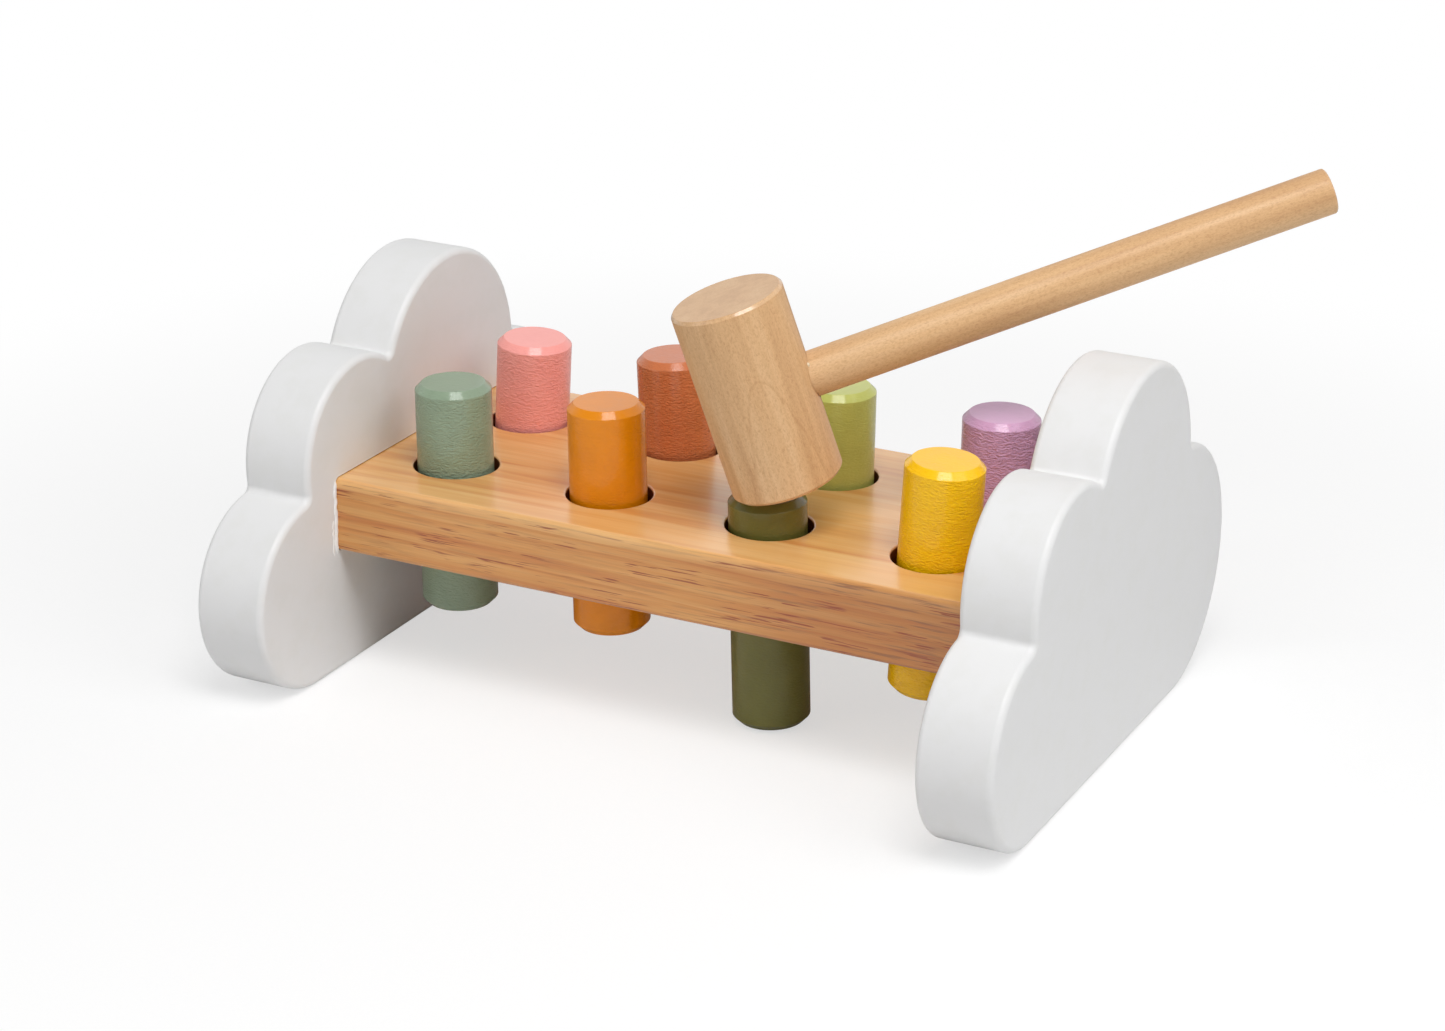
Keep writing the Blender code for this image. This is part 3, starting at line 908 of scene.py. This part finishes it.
def beech_wood(name, pith, tilt, seed, arch=0.0):
    """Oiled beech with its grain along the piece's own Z; arch is how plainly a line shows."""
    material, tree, shader, place = new_material(name)
    x, y, z = add(tree, "SeparateXYZ", Vector=place).outputs
    figure = use_group(
        tree,
        wood_figure,
        Place=add(tree, "CombineXYZ", X=z, Y=y, Z=x).outputs["Vector"],
        Pith=pith,
        Ring_Width=5.5,
        Tilt=tilt,
        Sway=3.0,
        Fleck_Length=1.5,
        Seed=seed,
    )
    wear_and_highlight = use_group(tree, edge_wear_and_highlight, Place=place, Reach=1.4, Seed=seed + 1)
    broad = work(tree, "MULTIPLY", figure["Drift"], beech_drift_share)
    broad = work(tree, "MULTIPLY_ADD", figure["Streaks"], beech_streak_share, broad)
    tone = ramp(tree, broad, ((0.1, beech_pale), (0.5, beech_mid), (0.95, beech_dark)))
    line = ramp(
        tree,
        figure["Rings"],
        ((0.0, (0, 0, 0)), (0.78, (40, 40, 40)), (0.95, (170, 170, 170)), (1.0, (0, 0, 0))),
    )
    line = work(tree, "MULTIPLY", line, beech_ring_share)
    tone = mix(tree, line, tone, linear(beech_line))
    wobble = work(tree, "MULTIPLY_ADD", figure["Streaks"], 2 * arch_wobble, -arch_wobble)
    beside = work(tree, "ADD", work(tree, "SUBTRACT", x, arch_middle), wobble)
    slope = work(tree, "MULTIPLY_ADD", beside, arch_bend, arch_slant)
    drop = work(tree, "SUBTRACT", z, arch_height)
    drop = work(tree, "MULTIPLY_ADD", slope, beside, drop)
    steep = work(tree, "MULTIPLY_ADD", beside, 2 * arch_bend, arch_slant)
    steep = work(tree, "SQRT", work(tree, "MULTIPLY_ADD", steep, steep, 1.0))
    off_line = work(tree, "ABSOLUTE", work(tree, "DIVIDE", drop, steep))
    arched = spread(tree, off_line, 0.0, arch_half_width, 1.0, 0.0)
    arched = work(tree, "MULTIPLY", arched, arch)
    arched = work(tree, "MULTIPLY", arched, spread(tree, y, *arch_front))
    tone = mix(tree, arched, tone, linear(beech_line))
    fibre_tone = ramp(
        tree, figure["Fibres"], ((0.25, (226, 222, 218)), (0.75, (255, 255, 255)))
    )
    tone = mix(tree, beech_fibre_share, tone, fibre_tone, "MULTIPLY")
    pores = cloudy(
        tree, place, pore_cells, detail=3.0, roughness=0.6, distortion=0.8, seed=seed
    )
    pore_tone = ramp(tree, pores, ((0.36, (228, 214, 200)), (0.54, (255, 255, 255))))
    tone = mix(tree, beech_pore_share, tone, pore_tone, "MULTIPLY")
    flecked = work(tree, "MULTIPLY", figure["Flecks"], beech_fleck_share)
    tone = mix(tree, flecked, tone, linear(beech_fleck))
    handled = work(tree, "MULTIPLY", wear_and_highlight["Edge"], beech_worn_share)
    tone = mix(tree, handled, tone, linear(burnished))
    # The end faces are tinted greyer, a painted sheen of reflected light on them
    outward = add(tree, "TexCoord").outputs["Normal"]
    faces_end = work(tree, "ABSOLUTE", shift(tree, "DOT_PRODUCT", outward, (0, 0, 1)))
    end_face_sheen = work(tree, "MULTIPLY", spread(tree, faces_end, 0.9, 0.99), sheen_tint_share)
    tone = mix(tree, end_face_sheen, tone, linear(beech_sheen_tint))
    dress(tree, shader, tone, spread(tree, figure["Fibres"], 0.2, 0.8, 0.46, 0.58))
    shader.inputs["Specular IOR Level"].default_value = oil_specular
    # The rims are burnished by use, so they shine more than the faces
    on_rim = work(
        tree, "MULTIPLY", spread(tree, faces_end, 0.25, 0.5), spread(tree, faces_end, 0.95, 0.8)
    )
    join(tree, spread(tree, on_rim, 0.0, 1.0, 0.1, 1.0), shader.inputs["Coat Weight"])
    shader.inputs["Coat Roughness"].default_value = oil_skin_roughness
    bump(tree, shader, work(tree, "ADD", figure["Fibres"], pores), 0.12, 0.1 * mm)
    return material


standing = (
    Matrix.Rotation(math.radians(mallet_bearing), 4, "Z")
    @ Matrix.Rotation(math.radians(mallet_lean), 4, "Y")
    @ Matrix.Rotation(math.radians(mallet_turn), 4, "Z")
)
to_lower_face = Matrix.Translation((0, 0, -head_length / 2))
mallet_place = Matrix.Translation(middle_of("mallet_head")) @ standing @ to_lower_face

head_corners = [
    (head_radius / 2, head_length),
    (head_radius - head_rim_in, head_length),
    (head_radius, head_length - head_rim_down),
    (head_radius, head_rim_down),
    (head_radius - head_rim_in, 0),
    (head_radius / 2, 0),
]
head_profile = ease_corners(head_corners, head_rim_radius, head_rim_steps)
head = put(turned("mallet_head_turned", head_profile, head_facets), mallet_place)
along_handle = Matrix.Translation((0, 0, handle_height)) @ Matrix.Rotation(math.pi / 2, 4, "Y")
socket_profile = [
    (handle_radius + seat_gap, head_radius - socket_depth),
    (handle_radius + seat_gap, head_radius + cut_overrun),
]
socket = turned("socket", socket_profile, handle_facets)
carve(head, [put(socket, mallet_place @ along_handle)])
head_wood = beech_wood("beech_head", (0, 70, 2), -0.068, 31.0, arch=0.26)
finish_piece(head, head_wood, "mallet", "mallet_head")

far_end = head_radius + handle_reach - handle_trim
handle_corners = [
    (handle_radius / 2, far_end),
    (handle_radius, far_end - handle_crown),
    (handle_radius, head_radius - socket_depth + seat_gap),
]
handle_profile = ease_corners(handle_corners, handle_end_radius, handle_end_steps)
mesh = turned("mallet_handle_rod", handle_profile, handle_facets)
handle = put(mesh, mallet_place @ along_handle)
handle_wood = beech_wood("beech_handle", (0, 22, 14), 0.01, 37.0)
finish_piece(handle, handle_wood, "mallet", "mallet_handle")


# A drop of the glue that holds the handle was squeezed out at the front of its hole, and has
# dried there clear and shiny. It is a small lopsided dome, set partly into the wood.
drop_radius = 0.85 * mm
drop_height = 0.65 * mm
drop_facets = 24
drop_steps = 6
drop_closed = 0.94
drop_sunk = 0.45
drop_stretch = 0.16
drop_lumps = 0.12
drop_place = Vector((16.75, -5.3, 35.2)) * mm
drop_faces = Vector((0.62, -0.62, 0.48))
dried_glue = (236, 222, 196)
glue_cloud = (222, 202, 168)
glue_cells = (2.0, 2.0, 2.0)

glue, tree, shader, place = new_material("dried_glue")
skinned = cloudy(tree, place, glue_cells, detail=2.0, seed=8.0)
tone = ramp(tree, skinned, ((0.35, glue_cloud), (0.65, dried_glue)))
dress(tree, shader, tone, spread(tree, skinned, 0.2, 0.8, 0.1, 0.22))
bump(tree, shader, skinned, 0.2, 0.08 * mm)

drop_turns = [math.tau * facet / drop_facets for facet in range(drop_facets)]
loops = []
for step in range(drop_steps + 1):
    angle = math.pi / 2 * (step / drop_steps) * drop_closed
    radius = drop_radius * math.cos(angle)
    height = drop_height * (math.sin(angle) - drop_sunk)
    loop = []
    for turn in drop_turns:
        longer = 1 + drop_stretch * math.sin(2 * turn)
        wider = 1 + drop_lumps * math.cos(3 * turn)
        loop.append((radius * math.cos(turn) * longer, radius * math.sin(turn) * wider, height))
    loops.append(loop)
facing_out = drop_faces.to_track_quat("Z", "X").to_matrix().to_4x4()
drop_matrix = mallet_place @ Matrix.Translation(drop_place) @ facing_out
drop = put(skin("glue_drop", loops), drop_matrix)
finish_piece(drop, glue, "mallet")


# The table is a sheet of plain white paper under three soft boxes and a white room. The paper
# looks pure white to the camera but keeps the toy's shadow.
paper_half_size = 3.0
paper_white = (236, 236, 236)
paper_cells = (1.0, 1.0, 1.0)
# How far from the toy the paper's shadow begins to fade and is gone, in metres, and how much
# of the paper's white is its own glow before that
shadow_fades = (0.22, 0.5)
near_glow = 0.6
# How bright the white room is all round, and how bright a gloss shows it in front of the toy
room_light = 0.29
room_front_gloss = 0.2

paper, tree, shader, place = new_material("white_paper")
tree.nodes.remove(shader)
seen = add(tree, "LightPath").outputs["Is Camera Ray"]
fine = cloudy(tree, place, paper_cells, detail=3.0, seed=1.0)
grain = ramp(tree, fine, ((0.3, (252, 252, 252)), (0.7, (255, 255, 255))))
tint = mix(tree, seen, linear(paper_white), grain)
sheet = add(tree, "BsdfDiffuse", Color=tint).outputs["BSDF"]
glow = add(tree, "Emission", Color=(1, 1, 1, 1), Strength=1.0).outputs["Emission"]
way_off = shift(tree, "LENGTH", shift(tree, "MULTIPLY", place, (mm, mm, mm)))
share = work(tree, "MULTIPLY", seen, spread(tree, way_off, *shadow_fades, near_glow, 1.0))
blend = add(tree, "MixShader")
feed(tree, blend, (share, sheet, glow))
join(tree, blend.outputs["Shader"], tree.nodes["Material Output"].inputs["Surface"])

shape = bmesh.new()
bmesh.ops.create_grid(shape, x_segments=1, y_segments=1, size=paper_half_size)
paper_mesh = bpy.data.meshes.new("paper")
shape.to_mesh(paper_mesh)
shape.free()
floor = put(paper_mesh, Matrix.Identity(4))
floor.data.materials.append(paper)

room = bpy.data.worlds.new("white_room")
room.use_nodes = True
tree = room.node_tree
background = tree.nodes["Background"]
rays = add(tree, "LightPath").outputs
# The backdrop behind the toy is white, and the room in front of it is dimmer
around = add(tree, "TexCoord").outputs["Generated"]
towards = add(tree, "SeparateXYZ", Vector=around).outputs["Y"]
mirrored = spread(tree, towards, -0.4, 0.4, room_front_gloss, 1.0)
mirrored = work(tree, "MULTIPLY", rays["Is Glossy Ray"], mirrored)
looked_at = work(tree, "MAXIMUM", rays["Is Camera Ray"], mirrored)
looked_at = work(tree, "MAXIMUM", looked_at, rays["Is Transmission Ray"])
background.inputs["Color"].default_value = (1, 1, 1, 1)
join(tree, work(tree, "MAXIMUM", looked_at, room_light), background.inputs["Strength"])
bpy.context.scene.world = room

# Each soft box, a square lamp behind a diffuser: its name, its place, its width and its watts
toy_middle = Vector((0, 0, 60 * mm))
soft_boxes = (
    ("overhead_box", (0.38, -0.56, 1.44), 0.7, 13.2),
    ("right_box", (1.0, -0.2, 1.0), 0.9, 5.0),
    ("left_box", (-1.1, -1.0, 0.7), 0.9, 3.0),
)
for name, box_place, width, watts in soft_boxes:
    lamp = bpy.data.lights.new(name, "AREA")
    lamp.shape = "SQUARE"
    lamp.size = width
    lamp.energy = watts
    soft_box = bpy.data.objects.new(name, lamp)
    bpy.context.collection.objects.link(soft_box)
    soft_box.location = box_place
    aim = toy_middle - Vector(box_place)
    soft_box.rotation_euler = aim.to_track_quat("-Z", "Y").to_euler()


# The camera stands where the photograph was taken from, in front of the right-hand corner and a
# little above the toy. Its place was solved from the bores, the plank's edges and the clouds.
camera_place = Vector((438.35, -912.68, 457.34)) * mm
camera_azimuth = 26.583
camera_elevation = 21.480
camera_roll = 0.553
camera_lens = 85.93
camera_clip_start = 0.01

lens = bpy.data.cameras.new("camera")
lens.lens = camera_lens
lens.clip_start = camera_clip_start
camera = bpy.data.objects.new("camera", lens)
bpy.context.collection.objects.link(camera)
azimuth = math.radians(camera_azimuth)
elevation = math.radians(camera_elevation)
back = Vector(
    (
        math.sin(azimuth) * math.cos(elevation),
        -math.cos(azimuth) * math.cos(elevation),
        math.sin(elevation),
    )
)
right = Vector((math.cos(azimuth), math.sin(azimuth), 0))
up = back.cross(right)
facing = Matrix((right, up, back)).transposed().to_4x4()
level = Matrix.Rotation(math.radians(camera_roll), 4, "Z")
camera.matrix_world = Matrix.Translation(camera_place) @ facing @ level
bpy.context.scene.camera = camera
bpy.context.scene.view_settings.view_transform = "Standard"
